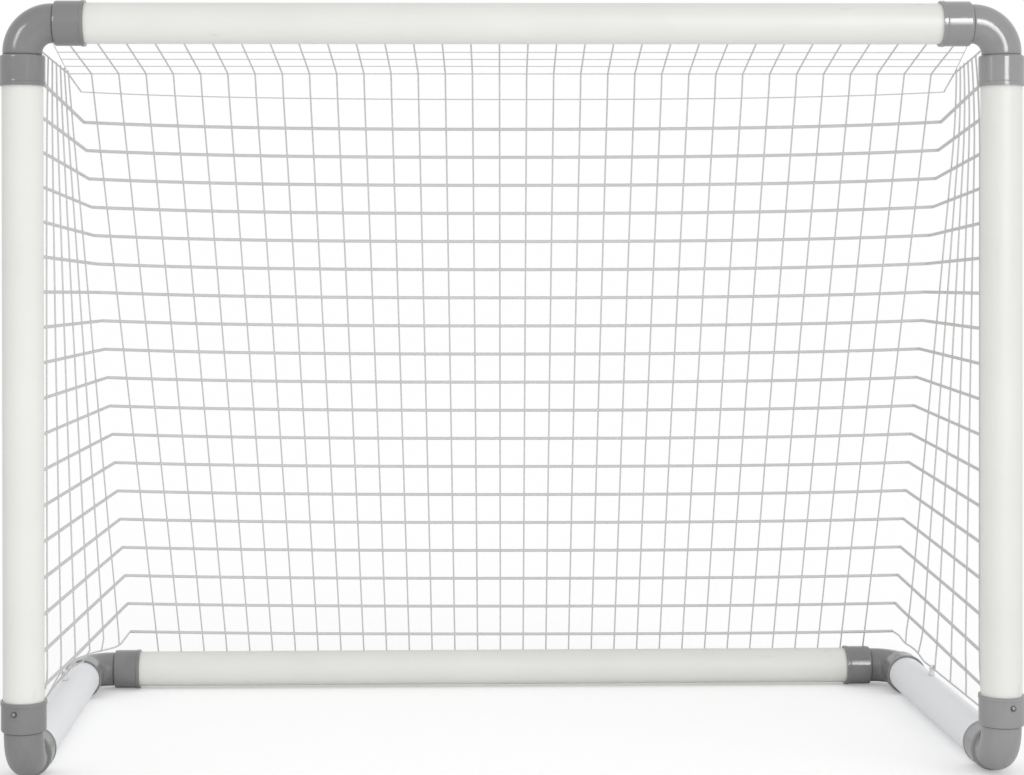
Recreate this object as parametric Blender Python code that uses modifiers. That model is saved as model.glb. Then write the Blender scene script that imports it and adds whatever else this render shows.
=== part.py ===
"""A football goal of push-fit plastic pipe with grey elbows and a square-mesh net."""
from math import cos, pi, radians, sin

import bmesh
import bpy
from mathutils import Matrix, Vector

for old in list(bpy.data.objects):
    bpy.data.objects.remove(old, do_unlink=True)

# Driving sizes, in metres. The width, depth and height are those over the pipes.
goal_width = 1.2000
goal_depth = 0.6000
goal_height = 0.9140
pipe_radius = 0.02415
pipe_wall = 0.0030
play = 0.0003
sides = 24

# Elbow: distances run from the crossing point of its two pipe axes.
mouth_reach = 0.0736
groove_reach = 0.0371
lip_length = 0.0046
lip_height = 0.0028
collar_height = 0.00205
collar_chamfer = 0.0025
groove_depth = 0.0011
bend_radius = 0.0343
bend_body_radius = 0.0233
bend_bore_radius = 0.0200
bend_steps = 6

# Lock screws in the collars at the feet of the two posts.
screw_below_mouth = 0.0120
screw_turn = radians(15)
screw_head_radius = 0.0034
screw_head_height = 0.0022
screw_shank_radius = 0.00175
screw_beyond_pipe = 0.0030
screw_sides = 12
drill_sides = 8
recess_width = 0.0010
recess_length = 0.0038
recess_depth = 0.0012

# Net clips: a stem in a drilled hole, a flange on the pipe and a snap hook round the edge cord. Those on
# the posts turn from straight inward to the back, and those on the base pipes from inward over the top.
cord_offset = 0.0340
stem_radius = 0.0020
stem_beyond_wall = 0.0030
flange_radius = 0.0045
flange_height = 0.0020
hook_radius = 0.0042
hook_bore_radius = 0.0018
hook_slot_width = 0.0024
hook_wall = 0.0018
clip_sides = 8
crossbar_clip_count = 5
rear_clip_count = 5
crossbar_clip_drop = radians(12)
rear_clip_rise = radians(4)
post_clip_turn = radians(72)
base_clip_turn = radians(100)

# Net: knots of the ridge, shoulder and foot lines, and how many meshes each panel is given.
strand_size = 0.0021
seam = 0.0017
shelf_inset = 0.0240
side_drop = 0.0360
ridge_back = 0.1890
ridge_drop = 0.0455
ridge_spread = 0.0167
shoulder_back = 0.2000
shoulder_drop = 0.0672
corner_inset = 0.0308
foot_rise = 0.0450
net_sway = 0.0475
back_column_count = 15
back_row_count = 9
shelf_row_count = 2
side_column_count = 4
side_row_count = 10

# Places worked out from the sizes: the post axes stand at y = 0 and the base axes lie at z = 0.
half_width = goal_width / 2 - pipe_radius
rear_line = goal_depth - 2 * pipe_radius
top_line = goal_height - 2 * pipe_radius
socket_radius = pipe_radius + play
socket_floor = groove_reach + play
pipe_end = socket_floor + play
corner_factor = 1 / cos(pi / sides)
head_cord_drop = cord_offset * sin(crossbar_clip_drop)
head_cord_back = cord_offset * cos(crossbar_clip_drop)
foot_cord_rise = cord_offset * sin(rear_clip_rise)
foot_cord_back = cord_offset * cos(rear_clip_rise)
post_cord_inward = cord_offset * cos(post_clip_turn)
post_cord_back = cord_offset * sin(post_clip_turn)
base_cord_inward = cord_offset * cos(base_clip_turn)
base_cord_height = cord_offset * sin(base_clip_turn)

goal = bpy.data.collections.new("pipe_goal")
cutters = bpy.data.collections.new("cutters")
bpy.context.scene.collection.children.link(goal)
bpy.context.scene.collection.children.link(cutters)


def material(name, colour, roughness, metallic):
    """One plain shaded surface."""
    made = bpy.data.materials.new(name)
    made.use_nodes = True
    shader = made.node_tree.nodes["Principled BSDF"]
    shader.inputs["Base Color"].default_value = (*colour, 1.0)
    shader.inputs["Roughness"].default_value = roughness
    shader.inputs["Metallic"].default_value = metallic
    made.diffuse_color = (*colour, 1.0)
    return made


white_pipe = material("white_pipe", (0.82, 0.83, 0.81), 0.35, 0.0)
grey_fitting = material("grey_fitting", (0.23, 0.24, 0.25), 0.25, 0.0)
net_twine = material("net_twine", (0.48, 0.48, 0.48), 0.85, 0.0)
screw_steel = material("screw_steel", (0.60, 0.60, 0.62), 0.30, 1.0)
clip_plastic = material("clip_plastic", (0.75, 0.76, 0.75), 0.45, 0.0)


def add_object(name, bm, collection, surface=None):
    """Turn a finished bmesh into an object of the given collection."""
    bmesh.ops.recalc_face_normals(bm, faces=bm.faces)
    mesh = bpy.data.meshes.new(name)
    bm.to_mesh(mesh)
    bm.free()
    made = bpy.data.objects.new(name, mesh)
    collection.objects.link(made)
    if surface is not None:
        mesh.materials.append(surface)
    return made


def facing(centre, across, normal):
    """A frame at centre whose Z is the normal and whose X points across."""
    z_axis = normal.normalized()
    x_axis = across.normalized()
    y_axis = z_axis.cross(x_axis)
    return Matrix.Translation(centre) @ Matrix((x_axis, y_axis, z_axis)).transposed().to_4x4()


def rings_body(rings, count, closed):
    """Draw one skin through rings of (frame, radius to the flats), from the first to the last.

    A closed row returns to its first ring, as the skin of a pipe does, and an open one is capped.
    """
    bm = bmesh.new()
    frame, radius = rings[0]
    start = frame @ Matrix.Rotation(pi / count, 4, "Z")
    size = radius / cos(pi / count)
    bmesh.ops.create_circle(bm, segments=count, radius=size, matrix=start, cap_ends=not closed)
    edges = list(bm.edges)
    row = rings + rings[:1] if closed else rings
    for (frame, radius), (next_frame, next_radius) in zip(row, row[1:]):
        made = bmesh.ops.extrude_edge_only(bm, edges=edges)["geom"]
        verts = [item for item in made if isinstance(item, bmesh.types.BMVert)]
        edges = [item for item in made if isinstance(item, bmesh.types.BMEdge)]
        step = next_frame @ Matrix.Scale(next_radius / radius, 4) @ frame.inverted()
        bmesh.ops.transform(bm, matrix=step, verts=verts)
    if closed:
        bmesh.ops.remove_doubles(bm, verts=bm.verts, dist=0.000001)
    else:
        bmesh.ops.holes_fill(bm, edges=edges, sides=0)
    return bm


def cut(target, tool):
    """Take the tool out of the target, and keep the tool as a hidden cutter."""
    tool.hide_render = True
    tool.display_type = "WIRE"
    modifier = target.modifiers.new("cut_" + tool.name, "BOOLEAN")
    modifier.operation = "DIFFERENCE"
    modifier.solver = "EXACT"
    modifier.object = tool


def pipe(name, start, end):
    """A straight length of pipe from start to end, open at both ends."""
    along = (end - start).normalized()
    across = Vector((0, 0, 1)) if abs(along.z) < 0.5 else Vector((1, 0, 0))
    bore_radius = pipe_radius - pipe_wall
    near = facing(start, across, along)
    far = facing(end, across, along)
    rings = [(near, pipe_radius), (far, pipe_radius), (far, bore_radius), (near, bore_radius)]
    return add_object(name, rings_body(rings, sides, True), goal, white_pipe)


def elbow(name, corner, arm, other):
    """A right-angle fitting with a socket along arm and another along other."""
    out_of_plane = arm.cross(other)
    collar_radius = socket_radius + collar_height
    outside = [
        (mouth_reach, socket_radius + lip_height),
        (mouth_reach - lip_length, socket_radius + lip_height),
        (mouth_reach - lip_length - (lip_height - collar_height), collar_radius),
        (groove_reach + collar_chamfer + play, collar_radius),
        (groove_reach + play, collar_radius - collar_chamfer),
        (groove_reach - play, bend_body_radius - groove_depth),
        (bend_radius, bend_body_radius),
    ]
    inside = [
        (mouth_reach, socket_radius),
        (socket_floor, socket_radius),
        (socket_floor, bend_bore_radius),
    ]

    def on_arm(reach):
        return facing(corner + arm * reach, out_of_plane, -arm)

    def on_other(reach):
        return facing(corner + other * reach, out_of_plane, other)

    def on_bend(step):
        turn = step / bend_steps * pi / 2
        centre = corner + (arm + other) * bend_radius
        place = centre - (arm * sin(turn) + other * cos(turn)) * bend_radius
        return facing(place, out_of_plane, other * sin(turn) - arm * cos(turn))

    middle = range(1, bend_steps)
    rings = [(on_arm(reach), radius) for reach, radius in outside]
    rings += [(on_bend(step), bend_body_radius) for step in middle]
    rings += [(on_other(reach), radius) for reach, radius in reversed(outside)]
    rings += [(on_other(reach), radius) for reach, radius in inside]
    rings += [(on_bend(step), bend_bore_radius) for step in reversed(middle)]
    rings += [(on_arm(reach), radius) for reach, radius in reversed(inside)]
    return add_object(name, rings_body(rings, sides, True), goal, grey_fitting)


right = Vector((1, 0, 0))
back = Vector((0, 1, 0))
up = Vector((0, 0, 1))

# Pipes: the crossbar, two posts, two base side pipes and the rear bar.
post_foot = {-1: Vector((-half_width, 0, 0)), 1: Vector((half_width, 0, 0))}
rear_foot = {side: foot + back * rear_line for side, foot in post_foot.items()}
post_top = {side: foot + up * top_line for side, foot in post_foot.items()}
side_names = {-1: "left", 1: "right"}

pipes = {}
pipes["crossbar"] = pipe("crossbar_pipe", post_top[-1] + right * pipe_end, post_top[1] - right * pipe_end)
pipes["rear"] = pipe("rear_bar_pipe", rear_foot[-1] + right * pipe_end, rear_foot[1] - right * pipe_end)
for side, side_name in side_names.items():
    pipes["post", side] = pipe(
        side_name + "_post_pipe", post_foot[side] + up * pipe_end, post_top[side] - up * pipe_end
    )
    pipes["base", side] = pipe(
        side_name + "_base_pipe", post_foot[side] + back * pipe_end, rear_foot[side] - back * pipe_end
    )

# Elbows: two at the crossbar, two at the feet of the posts and two at the rear bar.
front_elbows = {}
for side, side_name in side_names.items():
    inward = -side * right
    elbow(side_name + "_top_elbow", post_top[side], inward, -up)
    front_elbows[side] = elbow(side_name + "_front_elbow", post_foot[side], back, up)
    elbow(side_name + "_rear_elbow", rear_foot[side], inward, -back)

# Lock screws: each passes the collar and the post pipe inside it, and the holes are a little wider.
for side, side_name in side_names.items():
    height = mouth_reach - screw_below_mouth
    outward = Vector((side * sin(screw_turn), -cos(screw_turn), 0))
    axis = post_foot[side] + up * height
    seat = socket_radius + collar_height + play
    tip = pipe_radius - pipe_wall - screw_beyond_pipe

    def on_screw(reach):
        return facing(axis + outward * reach, up, outward)

    rings = [
        (on_screw(tip), screw_shank_radius * 0.5),
        (on_screw(tip + screw_beyond_pipe / 2), screw_shank_radius),
        (on_screw(seat), screw_shank_radius),
        (on_screw(seat), screw_head_radius),
        (on_screw(seat + screw_head_height * 0.6), screw_head_radius),
        (on_screw(seat + screw_head_height), screw_head_radius * 0.65),
    ]
    screw = add_object(side_name + "_lock_screw", rings_body(rings, screw_sides, False), goal, screw_steel)
    for number, tilt in enumerate((0, 90)):
        bm = bmesh.new()
        place = on_screw(seat + screw_head_height) @ Matrix.Rotation(radians(tilt), 4, "Z")
        size = Matrix.Diagonal((recess_length, recess_width, 2 * recess_depth, 1))
        bmesh.ops.create_cube(bm, size=1, matrix=place @ size)
        cut(screw, add_object(side_name + "_recess_" + str(number), bm, cutters))
    drill_rings = [
        (on_screw(tip), screw_shank_radius + play),
        (on_screw(seat + screw_head_height), screw_shank_radius + play),
    ]
    drill = add_object(side_name + "_screw_drill", rings_body(drill_rings, drill_sides, False), cutters)
    cut(front_elbows[side], drill)
    cut(pipes["post", side], drill)

# Net clips: outward is the way from the pipe axis to the edge cord, along runs with the cord.
hook_end = cord_offset + hook_bore_radius + hook_wall


def clip(name, target, centre, along, outward):
    """A clip on the pipe at centre, and the hole in the pipe that takes its stem."""
    tip = pipe_radius - pipe_wall - stem_beyond_wall
    seat = pipe_radius + play

    def on_clip(reach):
        return facing(centre + outward * reach, along, outward)

    rings = [
        (on_clip(tip), stem_radius * 0.6),
        (on_clip(tip + stem_beyond_wall / 2), stem_radius),
        (on_clip(seat), stem_radius),
        (on_clip(seat), flange_radius),
        (on_clip(seat + flange_height), flange_radius),
        (on_clip(hook_end), hook_radius),
    ]
    made = add_object(name, rings_body(rings, clip_sides, False), goal, clip_plastic)
    cord = centre + outward * cord_offset
    bore_rings = [
        (facing(cord + along * reach, outward, along), hook_bore_radius)
        for reach in (-2 * hook_radius, 2 * hook_radius)
    ]
    cut(made, add_object(name + "_bore", rings_body(bore_rings, clip_sides, False), cutters))
    bm = bmesh.new()
    place = facing(cord + outward * hook_radius, along, outward)
    size = Matrix.Diagonal((4 * hook_radius, hook_slot_width, 2 * hook_radius, 1))
    bmesh.ops.create_cube(bm, size=1, matrix=place @ size)
    cut(made, add_object(name + "_slot", bm, cutters))
    drill_rings = [
        (on_clip(tip - play), stem_radius + play),
        (on_clip(seat + flange_height), stem_radius + play),
    ]
    cut(target, add_object(name + "_drill", rings_body(drill_rings, clip_sides, False), cutters))


down_back = back * cos(crossbar_clip_drop) - up * sin(crossbar_clip_drop)
up_back = back * cos(rear_clip_rise) + up * sin(rear_clip_rise)
spacing = 3 * (2 * half_width - 2 * shelf_inset) / back_column_count
for number in range(crossbar_clip_count):
    shift = right * (number - (crossbar_clip_count - 1) / 2) * spacing
    middle_top = (post_top[-1] + post_top[1]) / 2
    clip("crossbar_clip_" + str(number + 1), pipes["crossbar"], middle_top + shift, right, down_back)
rear_spacing = 3 * (2 * half_width - 2 * corner_inset) / back_column_count
for number in range(rear_clip_count):
    shift = right * (number - (rear_clip_count - 1) / 2) * rear_spacing
    middle_rear = (rear_foot[-1] + rear_foot[1]) / 2 + right * net_sway * (rear_line + foot_cord_back)
    clip("rear_clip_" + str(number + 1), pipes["rear"], middle_rear + shift, right, up_back)

side_top = top_line - side_drop
post_step = (side_top - base_cord_height) / side_row_count
base_step = (rear_line - post_cord_back) / side_column_count
for side, side_name in side_names.items():
    inward = -side * right
    for number, gap in enumerate((2, 5, 8)):
        centre = post_foot[side] + up * (base_cord_height + (gap + 0.5) * post_step)
        outward = inward * cos(post_clip_turn) + back * sin(post_clip_turn)
        clip(side_name + "_post_clip_" + str(number + 1), pipes["post", side], centre, up, outward)
    for number, gap in enumerate((0, 2)):
        centre = post_foot[side] + back * (post_cord_back + (gap + 0.5) * base_step)
        outward = inward * cos(base_clip_turn) + up * sin(base_clip_turn)
        clip(side_name + "_base_clip_" + str(number + 1), pipes["base", side], centre, back, outward)


def mesh_panel(name, columns, rows, place):
    """A net panel: strands on the lines of a grid whose knots place() puts down."""
    bm = bmesh.new()
    bmesh.ops.create_grid(bm, x_segments=columns, y_segments=rows, size=0.5)
    for vert in bm.verts:
        vert.co = place(vert.co.x + 0.5, vert.co.y + 0.5)
    made = add_object(name, bm, goal, net_twine)
    strands = made.modifiers.new("strands", "WIREFRAME")
    strands.thickness = strand_size
    strands.use_even_offset = True
    strands.use_boundary = True
    strands.use_replace = True
    return made


def blend(start, end, part):
    """The point that lies the given part of the way from start to end."""
    return start + (end - start) * part


# Corner knots of the net. The net hangs a little to the right, more so further back.
def hung(side, inset, reach, height):
    """A knot the given inset from the post line, at its distance behind the posts."""
    return Vector((side * (half_width - inset) + net_sway * reach, reach, height))


front_top = {
    side: Vector((side * (half_width - shelf_inset), head_cord_back, top_line - head_cord_drop))
    for side in side_names
}
ridge = {side: hung(side, ridge_spread, ridge_back, top_line - ridge_drop) for side in side_names}
shoulder = {
    side: hung(side, corner_inset, shoulder_back, top_line - shoulder_drop) for side in side_names
}
foot = {
    side: hung(side, corner_inset, rear_line + foot_cord_back, foot_cord_rise) for side in side_names
}


def back_place(across, height):
    """The back panel falls from the ridge by way of the shoulder row to the rear bar."""
    knots = []
    for side in side_names:
        corner = shoulder[side]
        if height > 1 - 0.5 / back_row_count:
            corner = ridge[side]
        else:
            corner = blend(foot[side], shoulder[side], height / (1 - 1 / back_row_count))
        knots.append(corner)
    inside = seam * (1 - 2 * across)
    lowered = Vector((inside, 0, 0))
    if height > 1 - 0.5 / back_row_count:
        lowered += (shoulder[1] - ridge[1]).normalized() * seam
    return blend(knots[0], knots[1], across) + lowered


def shelf_place(across, height):
    """The shelf runs from the crossbar back to the ridge."""
    start = blend(front_top[-1], front_top[1], across)
    end = blend(ridge[-1], ridge[1], across)
    inside = Vector((seam * (1 - 2 * across), 0, 0))
    end -= (end - start).normalized() * seam
    return blend(end, start, height) + inside


mesh_panel("net_back", back_column_count, back_row_count, back_place)
mesh_panel("net_shelf", back_column_count, shelf_row_count, shelf_place)

for side, side_name in side_names.items():

    def side_place(across, height, side=side):
        """A side panel from the post to the back panel, with its foot along the top of the base pipe."""
        low = Vector((side * (half_width - post_cord_inward), post_cord_back, base_cord_height))
        high = Vector((side * (half_width - post_cord_inward), post_cord_back, side_top))
        front = blend(low, high, height)
        slope = (shoulder[side] - foot[side]).normalized()
        bottom = foot[side] + slope * (foot_rise / slope.z)
        rear = blend(bottom, shoulder[side], height)
        rear += Vector((0, -2 * seam, 0))
        place = blend(front, rear, across)
        if height < 0.5 / side_row_count and across < 1 - 0.5 / side_column_count:
            place.x = side * (half_width - base_cord_inward)
            place.z = base_cord_height
            place.y = max(place.y, cord_offset + 0.5 * strand_size)
        return place

    mesh_panel("net_" + side_name, side_column_count, side_row_count, side_place)

# The origin goes under the middle of the whole goal, on the floor.
bpy.context.view_layer.update()
depsgraph = bpy.context.evaluated_depsgraph_get()
lows = Vector((1e9, 1e9, 1e9))
highs = -lows
for piece in goal.objects:
    shape = piece.evaluated_get(depsgraph).to_mesh()
    for vert in shape.vertices:
        lows = Vector(map(min, lows, vert.co))
        highs = Vector(map(max, highs, vert.co))
    piece.evaluated_get(depsgraph).to_mesh_clear()
origin = Vector(((lows.x + highs.x) / 2, (lows.y + highs.y) / 2, lows.z))
for piece in list(goal.objects) + list(cutters.objects):
    piece.data.transform(Matrix.Translation(-origin))
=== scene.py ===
"""Football goal of push-fit plastic pipe, with grey moulded elbows and a square-mesh net."""
from math import cos, pi, radians, sin

import bpy
import numpy as np
from mathutils import Matrix, Vector


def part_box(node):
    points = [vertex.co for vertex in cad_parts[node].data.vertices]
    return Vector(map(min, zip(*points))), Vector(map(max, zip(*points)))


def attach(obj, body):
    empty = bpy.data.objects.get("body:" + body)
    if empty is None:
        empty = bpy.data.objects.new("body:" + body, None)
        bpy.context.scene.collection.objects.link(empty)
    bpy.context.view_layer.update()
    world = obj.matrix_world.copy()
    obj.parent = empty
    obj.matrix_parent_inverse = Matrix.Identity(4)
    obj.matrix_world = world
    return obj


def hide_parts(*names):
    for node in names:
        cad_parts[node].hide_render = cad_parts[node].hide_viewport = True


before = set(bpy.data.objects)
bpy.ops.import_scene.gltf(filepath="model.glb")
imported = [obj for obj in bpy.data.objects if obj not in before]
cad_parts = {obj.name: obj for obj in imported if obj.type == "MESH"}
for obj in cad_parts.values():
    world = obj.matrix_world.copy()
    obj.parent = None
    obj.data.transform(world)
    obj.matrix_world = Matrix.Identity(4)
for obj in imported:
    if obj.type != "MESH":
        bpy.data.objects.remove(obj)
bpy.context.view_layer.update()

# Pipes: six lengths of white PVC pipe, 48.3 mm across with a 3 mm wall. Each is extruded, sawn square
# and pushed dry into the elbows as far as the stop inside the socket.
pipe_radius = 0.02415
pipe_wall = 0.0030
pipe_faces_round = 96
sawn_edge = 0.0004


def leave_nothing_selected():
    if bpy.context.object and bpy.context.object.mode != "OBJECT":
        bpy.ops.object.mode_set(mode="OBJECT")
    bpy.ops.object.select_all(action="DESELECT")


def start_piece(name):
    """The object that was just added, under its own name and ready for edit mode."""
    piece = bpy.context.object
    piece.name = name
    piece.data.name = name
    bpy.ops.object.transform_apply(location=True, rotation=True, scale=True)
    return piece


def apply_modifiers(piece):
    leave_nothing_selected()
    piece.select_set(True)
    bpy.context.view_layer.objects.active = piece
    for modifier in list(piece.modifiers):
        bpy.ops.object.modifier_apply(modifier=modifier.name)


def round_edges(piece, width, angle, segments=2):
    """Take the sharpness off every edge that turns more than the angle."""
    bevel = piece.modifiers.new("eased_edges", "BEVEL")
    bevel.width = width
    bevel.segments = segments
    bevel.limit_method = "ANGLE"
    bevel.angle_limit = radians(angle)
    apply_modifiers(piece)
    bpy.ops.object.shade_smooth_by_angle(angle=radians(angle))
    shading = piece.modifiers.new("flat_faces_stay_flat", "WEIGHTED_NORMAL")
    shading.keep_sharp = True
    apply_modifiers(piece)


def keep_making_place(piece):
    """Store where each point lies on the bench, so that marks of making follow every copy."""
    place = piece.data.attributes.new("as_made", "FLOAT_VECTOR", "POINT")
    spots = np.zeros(len(piece.data.vertices) * 3, np.float32)
    piece.data.vertices.foreach_get("co", spots)
    place.data.foreach_set("vector", spots)


def copy_of(piece, name):
    made = piece.copy()
    made.data = piece.data.copy()
    made.name = name
    made.data.name = name
    bpy.context.scene.collection.objects.link(made)
    return made


def fit(piece, finish, slot_name, *nodes):
    """Give the piece its finish and let it stand for the nodes of the frame."""
    piece.data.materials.clear()
    piece.data.materials.append(finish)
    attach(piece, "root")
    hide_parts(*nodes)


def new_finish(name, colour, roughness, metallic=0.0):
    finish = bpy.data.materials.new(name)
    finish.use_nodes = True
    shader = finish.node_tree.nodes["Principled BSDF"]
    shader.inputs["Base Color"].default_value = (*colour, 1.0)
    shader.inputs["Roughness"].default_value = roughness
    shader.inputs["Metallic"].default_value = metallic
    return finish, shader


def connect(finish, socket, value):
    if isinstance(value, bpy.types.NodeSocket):
        finish.node_tree.links.new(value, socket)
    else:
        socket.default_value = value


def add_node(finish, kind, inputs, output=0, **settings):
    """Add one shader node, fill its inputs and hand back one of its outputs."""
    node = finish.node_tree.nodes.new(kind)
    for key, value in settings.items():
        setattr(node, key, value)
    for key, value in inputs.items():
        connect(finish, node.inputs[key], value)
    return node.outputs[output]


def bench_place(finish, stretch=(1.0, 1.0, 1.0)):
    place = add_node(finish, "ShaderNodeAttribute", {}, "Vector", attribute_name="as_made")
    return add_node(finish, "ShaderNodeVectorMath", {0: place, 1: stretch}, operation="MULTIPLY")


def grain(finish, place, scale, detail=2.0):
    return add_node(finish, "ShaderNodeTexNoise", {"Vector": place, "Scale": scale, "Detail": detail})


def ease(finish, value, low, high, to_low, to_high):
    inputs = {"Value": value, "From Min": low, "From Max": high, "To Min": to_low, "To Max": to_high}
    return add_node(finish, "ShaderNodeMapRange", inputs)


def spread_noise(finish, noise, to_low=0.0, to_high=1.0):
    """Noise seldom leaves 0.3 to 0.7, so that range is spread over the whole of the one asked for."""
    return ease(finish, noise, 0.3, 0.7, to_low, to_high)


def mix_colours(finish, part, first, second):
    first = first if isinstance(first, bpy.types.NodeSocket) else (*first, 1.0)
    second = second if isinstance(second, bpy.types.NodeSocket) else (*second, 1.0)
    return add_node(finish, "ShaderNodeMix", {0: part, 6: first, 7: second}, 2, data_type="RGBA")


def raise_surface(finish, shader, height, distance, strength=1.0):
    inputs = {"Height": height, "Distance": distance, "Strength": strength}
    connect(finish, shader.inputs["Normal"], add_node(finish, "ShaderNodeBump", inputs))


def extruded_pvc(name, duller, clearer):
    """Extruded PVC: drawn lines along the pipe, a faint cloudiness and a few handling marks."""
    finish, shader = new_finish(name, clearer, 0.5)
    shader.inputs["Specular IOR Level"].default_value = 0.30
    along_the_pipe = (1.0, 1.0, 0.012)
    a_little_along = (1.0, 1.0, 0.35)
    rubbed_grey = (0.66, 0.65, 0.62)
    drawn_lines = grain(finish, bench_place(finish, along_the_pipe), scale=620.0, detail=3.0)
    clouds = spread_noise(finish, grain(finish, bench_place(finish), scale=9.0, detail=3.0))
    rub_marks = grain(finish, bench_place(finish, a_little_along), scale=70.0, detail=4.0)
    rub_marks = ease(finish, rub_marks, low=0.70, high=0.78, to_low=0.0, to_high=0.35)
    white = mix_colours(finish, clouds, duller, clearer)
    white = mix_colours(finish, rub_marks, white, rubbed_grey)
    connect(finish, shader.inputs["Base Color"], white)
    connect(finish, shader.inputs["Roughness"], spread_noise(finish, drawn_lines, 0.46, 0.58))
    raise_surface(finish, shader, drawn_lines, distance=0.0001, strength=0.2)
    return finish


# The two base pipes are a cooler white than the other four, and painted brighter as painted light, for the
# light they catch from above.
warm_white = extruded_pvc("white_pvc", (0.815, 0.816, 0.786), (0.845, 0.848, 0.820))
cool_and_painted_lit_white = extruded_pvc("cool_white_pvc", (0.910, 0.920, 0.945), (0.930, 0.940, 0.965))

pipe_names = (
    "crossbar_pipe", "rear_bar_pipe", "left_post_pipe", "right_post_pipe", "left_base_pipe",
    "right_base_pipe",
)
for node_name in pipe_names:
    low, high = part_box(node_name)
    length = max(high - low)
    leave_nothing_selected()
    bpy.ops.mesh.primitive_cylinder_add(
        vertices=pipe_faces_round, radius=pipe_radius, depth=length, end_fill_type="NOTHING"
    )
    tube = start_piece(node_name.replace("_pipe", "_tube"))
    wall = tube.modifiers.new("wall", "SOLIDIFY")
    wall.thickness = pipe_wall
    wall.offset = -1.0
    round_edges(tube, sawn_edge, angle=40)
    keep_making_place(tube)
    axis = Vector([1.0 if size == length else 0.0 for size in high - low])
    turn = Vector((0, 0, 1)).rotation_difference(axis).to_matrix().to_4x4()
    tube.data.transform(Matrix.Translation((low + high) / 2) @ turn)
    fit(tube, cool_and_painted_lit_white if "base" in node_name else warm_white, "white_pipe", node_name)

# Elbows: six equal right-angle fittings of glossy grey PVC, injection moulded. Each has two sockets
# with a raised lip at the mouth and a groove where the collar meets the bend. The pipes are pushed in.
elbow_faces_round = 72
mouth_reach = 0.0736
socket_radius = 0.02445
socket_floor = 0.0374
bend_radius = 0.0343
bend_bore_radius = 0.0200
moulded_edge = 0.00028
# Rings from the mouth to the bend: how far from the crossing of the two axes, and the radius there.
outside_rings = [
    (0.0736, 0.02715),
    (0.0691, 0.02725),
    (0.0687, 0.02660),
    (0.0681, 0.02645),
    (0.0678, 0.02665),
    (0.0674, 0.02650),
    (0.0668, 0.02650),
    (0.0406, 0.02650),
    (0.0400, 0.02650),
    (0.0386, 0.02610),
    (0.0378, 0.02520),
    (0.0374, 0.02400),
    (0.0371, 0.02205),
    (0.0363, 0.02300),
    (0.0343, 0.02330),
]
inside_rings = [
    (0.0736, 0.02520),
    (0.0728, socket_radius),
    (socket_floor, socket_radius),
    (socket_floor, bend_bore_radius),
    (bend_radius, bend_bore_radius),
]


def ring_to(axis, here, there):
    """Extrude the open edge loop along an arm, from one (reach, radius) to the next."""
    shift = axis * (there[0] - here[0])
    across = Vector((1, 1, 1)) - axis
    size = axis + across * (there[1] / here[1])
    centre = axis * there[0]
    bpy.ops.mesh.extrude_edges_move(TRANSFORM_OT_translate={"value": tuple(shift)})
    bpy.ops.transform.resize(value=tuple(size), center_override=tuple(centre))


arm_x = Vector((1, 0, 0))
arm_y = Vector((0, 1, 0))
arm_z = Vector((0, 0, 1))
bend_steps = 18


def spin_bend(angle):
    """Turn the open edge loop through the bend, about the crossing of the two arms' inner lines."""
    bpy.ops.mesh.spin(
        steps=bend_steps, angle=angle, center=(bend_radius, bend_radius, 0), axis=(0, 0, 1)
    )


leave_nothing_selected()
bpy.ops.mesh.primitive_circle_add(
    vertices=elbow_faces_round, radius=outside_rings[0][1],
    location=(mouth_reach, 0, 0), rotation=(0, pi / 2, 0),
)
elbow = start_piece("elbow_pattern")
bpy.ops.object.mode_set(mode="EDIT")
bpy.ops.mesh.select_all(action="SELECT")
for here, there in zip(outside_rings, outside_rings[1:]):
    ring_to(arm_x, here, there)
spin_bend(pi / 2)
for here, there in zip(outside_rings[::-1], outside_rings[-2::-1]):
    ring_to(arm_y, here, there)
for here, there in zip([outside_rings[0]] + inside_rings, inside_rings):
    ring_to(arm_y, here, there)
spin_bend(-pi / 2)
for here, there in zip(inside_rings[::-1], inside_rings[-2::-1] + [outside_rings[0]]):
    ring_to(arm_x, here, there)
bpy.ops.mesh.select_all(action="SELECT")
bpy.ops.mesh.remove_doubles(threshold=0.00001)
bpy.ops.mesh.normals_make_consistent(inside=False)
bpy.ops.object.mode_set(mode="OBJECT")
round_edges(elbow, moulded_edge, angle=24)
keep_making_place(elbow)


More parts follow.
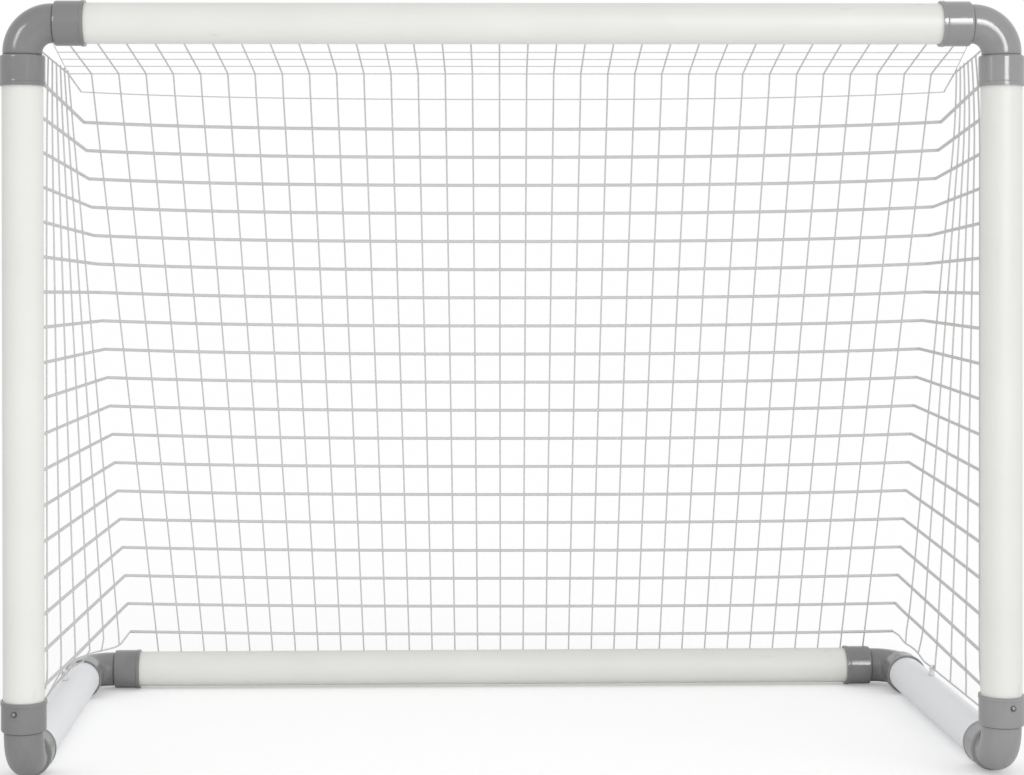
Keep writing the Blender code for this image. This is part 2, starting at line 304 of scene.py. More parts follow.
def moulded_pvc(name, darker, lighter):
    """Glossy moulded PVC: flow clouds, a hair-thin parting line round the middle and lips rubbed paler."""
    finish, shader = new_finish(name, lighter, 0.17)
    shader.inputs["Specular IOR Level"].default_value = 0.55
    parting_half_width, parting_fades_by = 0.00012, 0.00035
    rubbed_band = 0.0008
    rubbed_grey = (0.33, 0.33, 0.33)
    bench = bench_place(finish)
    flow = grain(finish, bench_place(finish, (1.0, 1.0, 3.0)), scale=22.0, detail=4.0)
    flow_tone = spread_noise(finish, flow)
    skin = grain(finish, bench, scale=260.0, detail=1.0)
    parts = finish.node_tree.nodes.new("ShaderNodeSeparateXYZ")
    connect(finish, parts.inputs[0], bench)
    off_middle = add_node(finish, "ShaderNodeMath", {0: parts.outputs["Z"]}, operation="ABSOLUTE")
    parting_line = ease(finish, off_middle, parting_half_width, parting_fades_by, 1.0, 0.0)
    arms = {0: parts.outputs["X"], 1: parts.outputs["Y"]}
    reach = add_node(finish, "ShaderNodeMath", arms, operation="MAXIMUM")
    lip = ease(finish, reach, mouth_reach - rubbed_band, mouth_reach, 0.0, 0.5)
    rubbing = ease(finish, flow, low=0.4, high=0.65, to_low=0.2, to_high=1.0)
    rubbed_lip = add_node(finish, "ShaderNodeMath", {0: lip, 1: rubbing}, operation="MULTIPLY")
    grey = mix_colours(finish, flow_tone, darker, lighter)
    grey = mix_colours(finish, rubbed_lip, grey, rubbed_grey)
    connect(finish, shader.inputs["Base Color"], grey)
    connect(finish, shader.inputs["Roughness"], spread_noise(finish, flow, 0.13, 0.20))
    relief = {0: skin, 1: 0.06, 2: parting_line}
    surface = add_node(finish, "ShaderNodeMath", relief, operation="MULTIPLY_ADD")
    raise_surface(finish, shader, surface, distance=0.00005)
    return finish


# The two fittings at the ends of the right post are given a paler grey than the other four: painted light,
# for the stronger light that falls on the right-hand fittings.
mid_grey = moulded_pvc("grey_moulded_pvc", (0.220, 0.222, 0.220), (0.244, 0.246, 0.242))
painted_light_grey = moulded_pvc("pale_grey_moulded_pvc", (0.298, 0.302, 0.297), (0.325, 0.329, 0.323))

post_low, post_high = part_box("left_post_pipe")
base_low, base_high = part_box("left_base_pipe")
rear_low, rear_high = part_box("rear_bar_pipe")
bar_low, bar_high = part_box("crossbar_pipe")
half_width = -(post_low.x + post_high.x) / 2
front_line = (post_low.y + post_high.y) / 2
ground_line = (base_low.z + base_high.z) / 2
rear_line = (rear_low.y + rear_high.y) / 2
top_line = (bar_low.z + bar_high.z) / 2
side_names = {-1: "left", 1: "right"}
back, up = arm_y, arm_z
for side, side_name in side_names.items():
    post_foot = Vector((side * half_width, front_line, ground_line))
    post_top = Vector((side * half_width, front_line, top_line))
    rear_foot = Vector((side * half_width, rear_line, ground_line))
    inward = -side * arm_x
    elbow_places = (
        ("top", post_top, inward, -up),
        ("front", post_foot, back, up),
        ("rear", rear_foot, inward, -back),
    )
    for kind, corner, arm, other in elbow_places:
        node_name = side_name + "_" + kind + "_elbow"
        fitting = copy_of(elbow, side_name + "_" + kind + "_bend")
        turned = Matrix((arm, other, arm.cross(other))).transposed().to_4x4()
        fitting.data.transform(Matrix.Translation(corner) @ turned)
        # The right post's top and front fittings take the paler grey, as painted light.
        paler = side > 0 and kind != "rear"
        fit(fitting, painted_light_grey if paler else mid_grey, "grey_fitting", node_name)
bpy.data.objects.remove(elbow)

# Lock screws: a domed cross-head screw of bright steel on the outer front of each post's foot. It is
# driven through the collar into the pipe, so that the upright can't lift out of its elbow.
screw_below_mouth = 0.0120
screw_height = mouth_reach - screw_below_mouth
screw_turn = radians(15)
screw_faces_round = 32
# Rings from the tip up to the head: how far from the pipe's axis, and the radius there.
screw_rings = [
    (0.01815, 0.00090),
    (0.01965, 0.00175),
    (0.02680, 0.00175),
    (0.02680, 0.00325),
    (0.02695, 0.00340),
    (0.02745, 0.00338),
    (0.02805, 0.00312),
    (0.02860, 0.00255),
    (0.02890, 0.00180),
    (0.02900, 0.00090),
]
recess_length = 0.0038
recess_width = 0.0010
recess_depth = 0.0012
screw_edge = 0.00008


def stack_of_rings(name, rings, faces_round):
    """A closed turned shape, drawn up from ring to ring."""
    leave_nothing_selected()
    bpy.ops.mesh.primitive_circle_add(
        vertices=faces_round, radius=rings[0][1], location=(0, 0, rings[0][0]), fill_type="NGON"
    )
    piece = start_piece(name)
    bpy.ops.object.mode_set(mode="EDIT")
    bpy.ops.mesh.select_all(action="SELECT")
    for here, there in zip(rings, rings[1:]):
        size = there[1] / here[1]
        bpy.ops.mesh.extrude_region_move(TRANSFORM_OT_translate={"value": (0, 0, there[0] - here[0])})
        bpy.ops.transform.resize(value=(size, size, 1), center_override=(0, 0, there[0]))
    bpy.ops.mesh.select_all(action="SELECT")
    bpy.ops.mesh.normals_make_consistent(inside=False)
    bpy.ops.object.mode_set(mode="OBJECT")
    return piece


def cut_out(piece, *tools):
    """Take the shape of each tool out of the piece, and put the tools away."""
    for tool in tools:
        opening = piece.modifiers.new("opening", "BOOLEAN")
        opening.object = tool
        opening.solver = "EXACT"
    apply_modifiers(piece)
    for tool in tools:
        bpy.data.objects.remove(tool)


screw = stack_of_rings("screw_pattern", screw_rings, screw_faces_round)
for tilt in (0, 90):
    leave_nothing_selected()
    bpy.ops.mesh.primitive_cube_add(
        size=1, location=(0, 0, screw_rings[-1][0]), rotation=(0, 0, radians(tilt)),
        scale=(recess_length, recess_width, 2 * recess_depth),
    )
    cut_out(screw, start_piece("driver_blade"))
round_edges(screw, screw_edge, angle=35, segments=1)
keep_making_place(screw)

# Zinc-plated steel with turning marks. The head is bright in the middle, and its rim is painted dark:
# painted shade and painted dark reflection on the steep edge of the dome.
screw_finish, shader = new_finish("zinc_plated_steel", (0.62, 0.62, 0.64), 0.26, 1.0)
bright_zinc, dull_zinc, painted_shade_grey = (0.66, 0.66, 0.68), (0.50, 0.50, 0.51), (0.15, 0.15, 0.15)
unshaded_radius, fully_shaded_radius = 0.0012, 0.0022
turning = grain(screw_finish, bench_place(screw_finish, (1.0, 1.0, 12.0)), scale=500.0, detail=3.0)
turning = spread_noise(screw_finish, turning)
plating = mix_colours(screw_finish, turning, bright_zinc, dull_zinc)
across = {0: bench_place(screw_finish, (1.0, 1.0, 0.0))}
off_axis = add_node(screw_finish, "ShaderNodeVectorMath", across, "Value", operation="LENGTH")
# Painted shade: the head darkens from the middle out to its rim.
painted_rim_shade = ease(screw_finish, off_axis, unshaded_radius, fully_shaded_radius, 0.0, 1.0)
plating = mix_colours(screw_finish, painted_rim_shade, plating, painted_shade_grey)
connect(screw_finish, shader.inputs["Base Color"], plating)
roughening = {0: turning, 1: 0.2, 2: 0.2}
roughness = add_node(screw_finish, "ShaderNodeMath", roughening, operation="MULTIPLY_ADD")
connect(screw_finish, shader.inputs["Roughness"], roughness)

for side, side_name in side_names.items():
    outward = Vector((side * sin(screw_turn), -cos(screw_turn), 0))
    driven = copy_of(screw, side_name + "_foot_screw")
    place = Matrix((up.cross(outward), up, outward)).transposed().to_4x4()
    axis = Vector((side * half_width, front_line, ground_line + screw_height))
    driven.data.transform(Matrix.Translation(axis) @ place)
    fit(driven, screw_finish, "screw_steel", side_name + "_lock_screw")
bpy.data.objects.remove(screw)

# Net clips: small snap hooks of off-white plastic behind the pipes and on top of the base pipes. The
# stem is pushed into a drilled hole up to the flange, and the net's edge cord snaps into the hook.
cord_offset = 0.0340
clip_faces_round = 24
# Rings from the stem's tip to the top of the hook: how far from the pipe's axis, and the radius there.
clip_rings = [
    (0.01815, 0.00120),
    (0.01965, 0.00200),
    (0.02445, 0.00200),
    (0.02445, 0.00450),
    (0.02600, 0.00450),
    (0.02690, 0.00360),
    (0.02860, 0.00330),
    (0.03080, 0.00390),
    (0.03300, 0.00425),
    (0.03560, 0.00415),
    (0.03760, 0.00360),
]
hook_bore_radius = 0.0018
bore_faces_round = 20
hook_slot_width = 0.0022
hook_slot_height = 0.010
tool_length = 0.02
clip_edge = 0.0002

clip = stack_of_rings("clip_pattern", clip_rings, clip_faces_round)
leave_nothing_selected()
bpy.ops.mesh.primitive_cylinder_add(
    vertices=bore_faces_round, radius=hook_bore_radius, depth=tool_length,
    location=(0, 0, cord_offset), rotation=(0, pi / 2, 0),
)
cord_bore = start_piece("cord_bore")
leave_nothing_selected()
bpy.ops.mesh.primitive_cube_add(
    size=1, location=(0, 0, cord_offset + hook_slot_height / 2),
    scale=(tool_length, hook_slot_width, hook_slot_height),
)
cord_slot = start_piece("cord_slot")
cut_out(clip, cord_bore, cord_slot)
round_edges(clip, clip_edge, angle=35)
keep_making_place(clip)

# Moulded plastic, a little rougher than the pipe.
clip_finish, shader = new_finish("clip_moulding", (0.75, 0.76, 0.75), 0.45)
darker_clip, lighter_clip = (0.73, 0.74, 0.73), (0.77, 0.78, 0.77)
clip_skin = grain(clip_finish, bench_place(clip_finish), scale=1400.0, detail=2.0)
clip_tone = mix_colours(clip_finish, spread_noise(clip_finish, clip_skin), darker_clip, lighter_clip)
connect(clip_finish, shader.inputs["Base Color"], clip_tone)
connect(clip_finish, shader.inputs["Roughness"], spread_noise(clip_finish, clip_skin, 0.38, 0.52))
raise_surface(clip_finish, shader, clip_skin, distance=0.00008)

crossbar_clip_drop = radians(12)
rear_clip_rise = radians(4)
post_clip_turn = radians(72)
base_clip_turn = radians(100)
clip_kinds = []
for number in range(1, 6):
    outward = back * cos(crossbar_clip_drop) - up * sin(crossbar_clip_drop)
    clip_kinds.append(("crossbar_clip_%d" % number, arm_x, outward))
    outward = back * cos(rear_clip_rise) + up * sin(rear_clip_rise)
    clip_kinds.append(("rear_clip_%d" % number, arm_x, outward))
for side, side_name in side_names.items():
    inward = -side * arm_x
    for number in (1, 2, 3):
        outward = inward * cos(post_clip_turn) + back * sin(post_clip_turn)
        clip_kinds.append((side_name + "_post_clip_%d" % number, up, outward))
    for number in (1, 2):
        outward = inward * cos(base_clip_turn) + up * sin(base_clip_turn)
        clip_kinds.append((side_name + "_base_clip_%d" % number, back, outward))
# From the pipe's axis to the middle of a clip.
clip_reach = (clip_rings[0][0] + clip_rings[-1][0]) / 2
for node_name, along, outward in clip_kinds:
    low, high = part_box(node_name)
    hook = copy_of(clip, node_name.replace("_clip_", "_hook_"))
    place = Matrix((along, outward.cross(along), outward)).transposed().to_4x4()
    middle = (low + high) / 2 - outward * clip_reach
    hook.data.transform(Matrix.Translation(middle) @ place)
    fit(hook, clip_finish, "clip_plastic", node_name)
bpy.data.objects.remove(clip)

# Net: one knotless square-mesh net of light grey twisted twine. It is laced from string as a shelf
# behind the crossbar, a sloping back and two sides, and its edge cords run through the clips.
column_count = 32
column_gap_head = 0.03475
column_gap_top = 0.0342
column_gap_foot = 0.0327
row_count = 20
net_sway = 0.0475
ridge_back, ridge_drop, ridge_spread = 0.1890, 0.0455, 0.0167
shoulder_back, shoulder_drop = 0.2000, 0.0672
corner_inset = {-1: 0.0308, 1: 0.0272}
# A grade is the start of a measure, its step from one row or string to the next, and how the step grows.
first_row_corner = 0.7981
corner_grade = (0.8297, -0.0340, -0.000246)
right_corner_grade = (0.0010, -0.00033, 0.0)
row_twine = 0.0041
column_twine = 0.0021
edge_cord = 0.0024
twine_faces = 2
row_points, cord_points, edge_points = 65, 33, 9

head_cord_drop = cord_offset * sin(crossbar_clip_drop)
head_cord_back = cord_offset * cos(crossbar_clip_drop)
post_cord_x = half_width - cord_offset * cos(post_clip_turn)
post_cord_back = cord_offset * sin(post_clip_turn)
base_cord_x = half_width - cord_offset * cos(base_clip_turn)
base_cord_z = cord_offset * sin(base_clip_turn)
depth = rear_line - front_line
height = top_line - ground_line
foot_back = depth + cord_offset * cos(rear_clip_rise)
foot_rise = cord_offset * sin(rear_clip_rise)
shoulder_rise = height - shoulder_drop


def in_row(point):
    """From the goal's own corner, between the posts on the pipe axes, to the frame."""
    return Vector((point[0], point[1] + front_line, point[2] + ground_line))


def hung(side, inset, reach, rise):
    """A corner of the net: it hangs a little to the right, more so further back."""
    return np.array((side * (half_width - inset) + net_sway * reach, reach, rise))


def corner_at(side, rise):
    """Where the back meets the side, on the line from the shoulder to the foot."""
    part = (shoulder_rise - rise) / (shoulder_rise - foot_rise)
    reach = shoulder_back + (foot_back - shoulder_back) * part
    return hung(side, corner_inset[side], reach, rise)


def graded(grade, number):
    return grade[0] + grade[1] * number + grade[2] * number * number


def corner_rise(side, row):
    """How high a row turns the corner. From the fourth row down, the right side hangs a little lower."""
    if row == 1:
        return first_row_corner
    rise = graded(corner_grade, row)
    return rise + graded(right_corner_grade, row) if side > 0 else rise


def straight(start, end, points):
    """So many points on a straight line."""
    return [start + (end - start) * part for part in np.linspace(0, 1, points)]


def lay_twine(name, runs, thickness):
    """Twine along every run of points, as one mesh whose map has metres along and turns around."""
    curve = bpy.data.curves.new(name, "CURVE")
    curve.dimensions = "3D"
    curve.bevel_depth = thickness / 2
    curve.bevel_resolution = twine_faces
    for run in runs:
        spline = curve.splines.new("POLY")
        spline.points.add(len(run) - 1)
        for point, spot in zip(spline.points, run):
            point.co = (*in_row(spot), 1.0)
    laid = bpy.data.objects.new(name, curve)
    bpy.context.scene.collection.objects.link(laid)
    leave_nothing_selected()
    laid.select_set(True)
    bpy.context.view_layer.objects.active = laid
    bpy.ops.object.convert(target="MESH")
    laid = bpy.context.object
    faces_round = 4 + 2 * twine_faces
    corners_of_a_face = 4
    lengths = []
    for run in runs:
        steps = np.linalg.norm(np.diff(np.array(run), axis=0), axis=1)
        lengths.append(np.concatenate([[0.0], np.cumsum(steps)]))
    twine_map = laid.data.uv_layers[0].data
    loop = 0
    for reached in lengths:
        for _ in range((len(reached) - 1) * faces_round * corners_of_a_face):
            u, v = twine_map[loop].uv
            twine_map[loop].uv = (reached[round(u * (len(reached) - 1))], v)
            loop += 1
    bpy.ops.object.shade_smooth()
    return laid


def joined(name, laid):
    """One piece of netting from all the twine that was laid for it."""
    leave_nothing_selected()
    for piece in laid:
        piece.select_set(True)
    bpy.context.view_layer.objects.active = laid[0]
    bpy.ops.object.join()
    net = bpy.context.object
    net.name = name
    net.data.name = name
    return net


def column_x(column, reach):
    """Where a string of the shelf and back stands: the strings close up from the crossbar to the foot."""
    if reach < ridge_back:
        part = (ridge_back - reach) / (ridge_back - head_cord_back)
        gap = column_gap_top + (column_gap_head - column_gap_top) * part
    else:
        part = (reach - ridge_back) / (foot_back - ridge_back)
        gap = column_gap_top + (column_gap_foot - column_gap_top) * part
    return (column - (column_count - 1) / 2) * gap + net_sway * reach


# Twisted twine: three yarns laid round each other, with grey-white fibres, and the valleys between the
# yarns darkened with painted shade.
yarns = 3.0
lay_length = 0.0075
painted_valley_shade, twine_crown, twine_soil = (0.58, 0.58, 0.575), (0.72, 0.72, 0.715), (0.58, 0.57, 0.55)
twine_finish, shader = new_finish("twisted_twine", (0.47, 0.47, 0.465), 0.8)
shader.inputs["Specular IOR Level"].default_value = 0.25
shader.inputs["Sheen Weight"].default_value = 0.15
twine_place = add_node(twine_finish, "ShaderNodeUVMap", {}, uv_map="UVMap")
split = twine_finish.node_tree.nodes.new("ShaderNodeSeparateXYZ")
connect(twine_finish, split.inputs[0], twine_place)
turns = {0: split.outputs["X"], 1: 1.0 / lay_length, 2: split.outputs["Y"]}
turns = add_node(twine_finish, "ShaderNodeMath", turns, operation="MULTIPLY_ADD")
twist = add_node(twine_finish, "ShaderNodeMath", {0: turns, 1: 2 * pi * yarns}, operation="MULTIPLY")
twist = add_node(twine_finish, "ShaderNodeMath", {0: twist}, operation="SINE")
spot = add_node(twine_finish, "ShaderNodeTexCoord", {}, "Object")
fibres = grain(twine_finish, spot, scale=2600.0, detail=3.0)
soiling = grain(twine_finish, spot, scale=7.0, detail=3.0)
relief = {0: fibres, 1: 0.6, 2: twist}
relief = add_node(twine_finish, "ShaderNodeMath", relief, operation="MULTIPLY_ADD")
crown = ease(twine_finish, relief, low=-0.9, high=1.0, to_low=0.0, to_high=1.0)
soil = ease(twine_finish, soiling, low=0.5, high=0.8, to_low=0.0, to_high=0.3)
# The valleys between the yarns get the darker grey: painted shade.
twine_tone = mix_colours(twine_finish, crown, painted_valley_shade, twine_crown)
twine_tone = mix_colours(twine_finish, soil, twine_tone, twine_soil)
connect(twine_finish, shader.inputs["Base Color"], twine_tone)
raise_surface(twine_finish, shader, relief, distance=0.00010, strength=0.6)

# Shelf: the part of the net that runs back from the crossbar to the ridge. It is the same twine, with
# three thin rows across its strings, and its front cord lies in the five clips behind the crossbar.
shelf_inset = 0.0240
shelf_row_places = (0.1066, 0.1329, 0.1597)
shelf_row_twine = 0.0011
shelf_string_points = 13
shelf_start = {
    side: np.array((side * (half_width - shelf_inset), head_cord_back, height - head_cord_drop))
    for side in side_names
}
ridge_end = {side: hung(side, ridge_spread, ridge_back, height - ridge_drop) for side in side_names}


def shelf_point(across, part):
    """A point of the shelf: across from -1 to 1, and part from the crossbar to the ridge."""
    left = shelf_start[-1] + (ridge_end[-1] - shelf_start[-1]) * part
    right_end = shelf_start[1] + (ridge_end[1] - shelf_start[1]) * part
    return left + (right_end - left) * (across + 1) / 2


shelf_reach = ridge_back - head_cord_back
shelf_rows = []
for reach in shelf_row_places:
    part = (reach - head_cord_back) / shelf_reach
    shelf_rows.append([shelf_point(across, part) for across in np.linspace(-1, 1, row_points)])
shelf_edges = [straight(shelf_start[side], ridge_end[side], edge_points) for side in side_names]
shelf_columns = []
for column in range(column_count):
    run = []
    for part in np.linspace(0, 1, shelf_string_points):
        point = shelf_point(0, part)
        point[0] = column_x(column, point[1])
        run.append(point)
    shelf_columns.append(run)
head_cord = straight(shelf_start[-1], shelf_start[1], cord_points)
net_shelf = joined("shelf_netting", [
    lay_twine("shelf_rows", shelf_rows, shelf_row_twine),
    lay_twine("shelf_edges", shelf_edges, shelf_row_twine),
    lay_twine("shelf_columns", shelf_columns, column_twine),
    lay_twine("head_cord", [head_cord], edge_cord),
])
fit(net_shelf, twine_finish, "net_twine", "net_shelf")

# Back: the part of the net that falls from the ridge to the rear bar. It has twenty rows that bow down
# between the corners, and its foot cord lies in the five clips behind the bar.
ridge_twine = 0.0014
sag_grade = (0.0098, -0.0003, 0.0)


def drawn_through(knots, parts):
    """A smooth run of points through the knots, with so many parts from knot to knot."""
    knots = np.array(knots, float)
    before = np.vstack([2 * knots[0] - knots[1], knots[:-1]])
    after = np.vstack([knots[1:], 2 * knots[-1] - knots[-2]])
    slope = (after - before) / 2
    run = []
    for start, end, slope_in, slope_out in zip(knots, knots[1:], slope, slope[1:]):
        for part in range(parts):
            t = part / parts
            run.append(
                start * (2 * t**3 - 3 * t**2 + 1) + end * (3 * t**2 - 2 * t**3)
                + slope_in * (t**3 - 2 * t**2 + t) + slope_out * (t**3 - t**2)
            )
    run.append(knots[-1])
    return run


def row_ends(row):
    return corner_at(-1, corner_rise(-1, row)), corner_at(1, corner_rise(1, row))


def back_row(row, places):
    """Points of one row of the back at the given places across, from -1 at the left corner to 1."""
    left, right_end = row_ends(row)
    sag = graded(sag_grade, row)
    points = []
    for across in places:
        point = left + (right_end - left) * (across + 1) / 2
        point[2] -= sag * (1 - across**2 * (1 + across**2) / 2)
        points.append(point)
    return points


def across_of(column, ends):
    """How far across a row a column lies, from -1 to 1."""
    left, right_end = ends
    x = column_x(column, (left[1] + right_end[1]) / 2)
    return 2 * (x - left[0]) / (right_end[0] - left[0]) - 1


row_runs = []
columns = [[] for _ in range(column_count)]
ridge_ends = (ridge_end[-1], ridge_end[1])
for column in range(column_count):
    part = (across_of(column, ridge_ends) + 1) / 2
    columns[column].append(ridge_ends[0] + (ridge_ends[1] - ridge_ends[0]) * part)
for row in range(1, row_count + 1):
    places = [across_of(column, row_ends(row)) for column in range(column_count)]
    knots = back_row(row, [-1.0] + places + [1.0])
    row_runs.append(drawn_through(knots, 2))
    for column in range(column_count):
        columns[column].append(knots[column + 1])
foot_ends = [hung(side, corner_inset[side], foot_back, foot_rise) for side in side_names]
for column in range(column_count):
    part = (across_of(column, foot_ends) + 1) / 2
    columns[column].append(foot_ends[0] + (foot_ends[1] - foot_ends[0]) * part)
ridge_run = straight(*ridge_ends, row_points)
foot_run = straight(*foot_ends, cord_points)
net_back = joined("back_netting", [
    lay_twine("ridge_row", [ridge_run, row_runs[0]], ridge_twine),
    lay_twine("back_rows", row_runs[1:], row_twine),
    lay_twine("back_columns", [drawn_through(knots, 3) for knots in columns], column_twine),
    lay_twine("foot_cord", [foot_run], edge_cord),
])
fit(net_back, twine_finish, "net_twine", "net_back")

# Sides: the parts of the net between each post and the back, with 18 rows and six strings that fan out
# toward the foot. The lower cord lies in the clips on the base pipe, then lifts over the rear elbow.
side_string_count = 6
first_row_post = 0.8410
post_grade = (0.8882, -0.04171, -0.000063)
right_drop = 0.0038
# The strings start on the top edge, gather there, fan out downward and trail back over the flare.
first_string = {-1: 0.37, 1: 0.29}
string_gap = 0.125
string_step_up = 0.0008
gather_height = 0.12
string_top_grade = (0.0720, 0.0141, 0.0)
string_foot_grade = (0.0815, 0.0724, 0.0019)
string_lead_top = {-1: 0.0, 1: 0.019}
string_lead_foot = {-1: 0.0, 1: 0.0205}
string_trail = {-1: 0.060, 1: 0.048}
# The lower edge lies on the clips as far as lift_from. From lift_to on it is free, and then it climbs.
lift_from, lift_to = 0.40, 0.50
lift_sharpness = 4
lifted_rise = 0.0435
climb_from, climb_rate = 0.48, 0.10
# Below the height of the flare, the panel leans out to the base pipe's cord, and its rows sink with it.
flare_top = {-1: 0.085, 1: 0.110}
flare_fall = {-1: 0.10, 1: 0.0}
flare_fall_from = 0.15
flare_sink = {-1: 0.0, 1: 0.010}
post_cord_turns_at = 0.11
post_foot_reach = 0.035
base_cord_from, base_cord_to = 0.036, 0.52
side_row_points, side_string_points = 15, 41
post_cord_points, post_foot_points, base_cord_points = 30, 8, 40


def post_rise(side, row):
    """How high a row meets the cord behind the post."""
    if row == 1:
        return first_row_post
    return graded(post_grade, row) - right_drop * (side > 0)


def smooth(part):
    """From 0 to 1 with a soft start and a soft end."""
    part = min(max(part, 0.0), 1.0)
    return part * part * (3 - 2 * part)


def hold(reach):
    """How firmly the lower edge is held to the base pipe's cord: fully in front, not at the rear elbow."""
    return smooth((lift_to - reach) / (lift_to - lift_from))


def edge_rise(reach):
    """How high the lower edge runs: on the clips in front, then over the rear elbow up to the corner."""
    climb = climb_rate * max(reach - climb_from, 0.0)
    return lifted_rise + (base_cord_z - lifted_rise) * hold(reach) ** lift_sharpness + climb


def lean(side, reach, rise):
    """How far the panel has leaned out to the cord on the base pipe: 0 well above it, 1 at the cord."""
    held = hold(reach)
    if not held:
        return 0.0
    top = flare_top[side] - flare_fall[side] * max(reach - flare_fall_from, 0.0)
    return smooth((top - rise) / (top - edge_rise(reach))) * held


def side_point(side, reach, rise):
    """A point of the side panel. Near the ground the panel leans out to the cord on the base pipe."""
    corner = corner_at(side, rise)
    front = side * post_cord_x
    part = (reach - post_cord_back) / (corner[1] - post_cord_back)
    x = front + (corner[0] - front) * part
    return np.array((x + (side * base_cord_x - x) * lean(side, reach, rise), reach, rise))


def fan_reach(side, string, part):
    """How far back a side string lies: close together at the top, wider towards the ground."""
    top = graded(string_top_grade, string) - string_lead_top[side]
    foot = graded(string_foot_grade, string) - string_lead_foot[side]
    return top + (foot - top) * part


for side, side_name in side_names.items():
    side_rows = []
    for row in range(2, row_count):
        start, end = post_rise(side, row), corner_rise(side, row)
        start -= flare_sink[side] * lean(side, post_cord_back, start)
        corner = corner_at(side, end)
        run = []
        for part in np.linspace(0, 1, side_row_points):
            reach = post_cord_back + (corner[1] - post_cord_back) * part
            run.append(side_point(side, reach, start + (end - start) * part))
        side_rows.append(run)
    top_post = np.array((side * post_cord_x, post_cord_back, post_rise(side, 1)))
    shoulder = corner_at(side, corner_rise(side, 1))
    top_edge = straight(top_post, ridge_end[side], edge_points)
    top_edge += straight(ridge_end[side], shoulder, 3)[1:]
    strings = []
    for string in range(side_string_count):
        start = top_post + (ridge_end[side] - top_post) * (first_string[side] + string_gap * string)
        start[2] += string_step_up * string
        usual_start = side_point(side, fan_reach(side, string, 0), start[2])
        run = []
        for part in np.linspace(0, 1, side_string_points):
            reach = fan_reach(side, string, part)
            rise = start[2] + (edge_rise(reach) - start[2]) * part
            reach += string_trail[side] * lean(side, reach, rise)
            rise = start[2] + (edge_rise(reach) - start[2]) * part
            point = side_point(side, reach, rise)
            gathered = max(0.0, 1 - (start[2] - rise) / gather_height) ** 2
            run.append(point + (start - usual_start) * gathered)
        strings.append(run)
    post_head = np.array((side * post_cord_x, post_cord_back, height - head_cord_drop))
    turn = np.array((side * post_cord_x, post_cord_back, post_cord_turns_at))
    post_foot = np.array((side * base_cord_x, post_foot_reach, base_cord_z))
    post_cord = straight(post_head, turn, post_cord_points)
    post_cord += [turn + (post_foot - turn) * part for part in np.linspace(0.1, 1, post_foot_points)]
    base_reaches = np.linspace(base_cord_from, base_cord_to, base_cord_points)
    base_cord = [side_point(side, reach, edge_rise(reach)) for reach in base_reaches]
    base_cord.append(corner_at(side, corner_rise(side, row_count)))
    netting = joined(side_name + "_netting", [
        lay_twine(side_name + "_side_rows", side_rows, row_twine),
        lay_twine(side_name + "_top_edge", [top_edge], column_twine),
        lay_twine(side_name + "_side_strings", strings, column_twine),
        lay_twine(side_name + "_edge_cords", [post_cord, base_cord], edge_cord),
    ])
    fit(netting, twine_finish, "net_twine", "net_" + side_name)

# The picture: a pale studio floor without an edge, soft light from the front right, and the camera
# low in front of the goal, a little left of its middle.
floor_lift = 0.27
room_light = 0.73

leave_nothing_selected()
bpy.ops.mesh.primitive_plane_add(size=400, location=(0, 0, 0))
floor = start_piece("studio_floor")
floor_finish, shader = new_finish("floor_white", (0.92, 0.92, 0.92), 0.9)
shader.inputs["Specular IOR Level"].default_value = 0.0
seen = add_node(floor_finish, "ShaderNodeLightPath", {}, "Is Camera Ray")
shader.inputs["Emission Color"].default_value = (1.0, 1.0, 1.0, 1.0)
lift = ease(floor_finish, seen, low=0.0, high=1.0, to_low=0.0, to_high=floor_lift)
connect(floor_finish, shader.inputs["Emission Strength"], lift)
floor.data.materials.append(floor_finish)

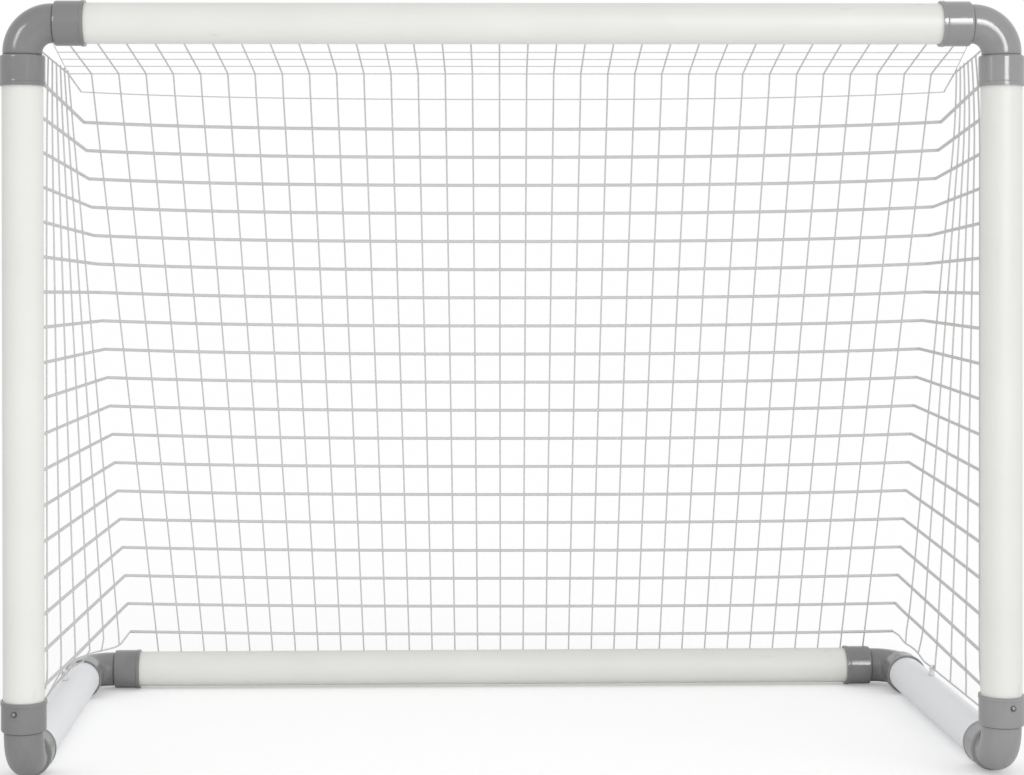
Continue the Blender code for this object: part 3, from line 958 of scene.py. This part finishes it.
# The room is plain white to the eye and in reflections, and a little dimmer as a light.
room = bpy.data.worlds.new("studio_air")
bpy.context.scene.world = room
room.use_nodes = True
room.node_tree.nodes.clear()
path = room.node_tree.nodes.new("ShaderNodeLightPath")
seen = {0: path.outputs["Is Camera Ray"], 1: path.outputs["Is Glossy Ray"]}
seen = add_node(room, "ShaderNodeMath", seen, operation="MAXIMUM")
seen = {0: seen, 1: path.outputs["Is Transmission Ray"]}
seen = add_node(room, "ShaderNodeMath", seen, operation="MAXIMUM")
level = add_node(room, "ShaderNodeMapRange", {"Value": seen, "To Min": room_light, "To Max": 1.0})
backdrop = add_node(room, "ShaderNodeBackground", {"Color": (1.0, 1.0, 1.0, 1.0), "Strength": level})
room_out = room.node_tree.nodes.new("ShaderNodeOutputWorld")
connect(room, room_out.inputs["Surface"], backdrop)


def hang_lamp(name, kind, energy, spot, target):
    """A lamp at a spot, turned to shine at a target."""
    lamp = bpy.data.objects.new(name, bpy.data.lights.new(name, kind))
    lamp.data.energy = energy
    bpy.context.scene.collection.objects.link(lamp)
    lamp.location = spot
    lamp.rotation_euler = (Vector(target) - Vector(spot)).to_track_quat("-Z", "Y").to_euler()
    return lamp


def hang_panel(name, wide, high, energy, spot, target):
    """A flat lamp, so wide and so high."""
    panel = hang_lamp(name, "AREA", energy, spot, target)
    panel.data.shape = "RECTANGLE"
    panel.data.size = wide
    panel.data.size_y = high
    return panel


key = hang_lamp("key_light", "SUN", 0.50, (2.4, -3.0, 1.9), (0, 0, 0.4))
key.data.angle = radians(40)
key.visible_glossy = False

# The softbox and the strip are there for the streaks on the fittings, and the low fill for the shade.
softbox = hang_panel("softbox", 0.62, 1.1, 2.6, (0.92, -2.03, 1.05), (0.5, -0.28, 0.6))
softbox.data.spread = radians(50)
softbox.visible_diffuse = False
strip = hang_panel("left_strip", 0.26, 0.35, 2.4, (-1.16, -1.00, 1.18), (-0.4, -0.28, 0.9))
strip.visible_diffuse = False
fill = hang_panel("low_fill", 1.2, 0.5, 6, (0.0, -1.9, 0.15), (0.0, -0.28, 0.5))
fill.visible_glossy = False

camera = bpy.data.objects.new("camera", bpy.data.cameras.new("camera"))
camera.data.sensor_width = 36
camera.data.lens = 77.19
camera.data.shift_x = 0.0690
camera.data.shift_y = -0.1418
camera.data.clip_end = 600
camera.location = (-0.1433, -2.85942, 0.64765)
camera.rotation_euler = (radians(89.742), radians(0.076), radians(-1.272))
bpy.context.scene.collection.objects.link(camera)
bpy.context.scene.camera = camera

bpy.context.scene.view_settings.view_transform = "Standard"
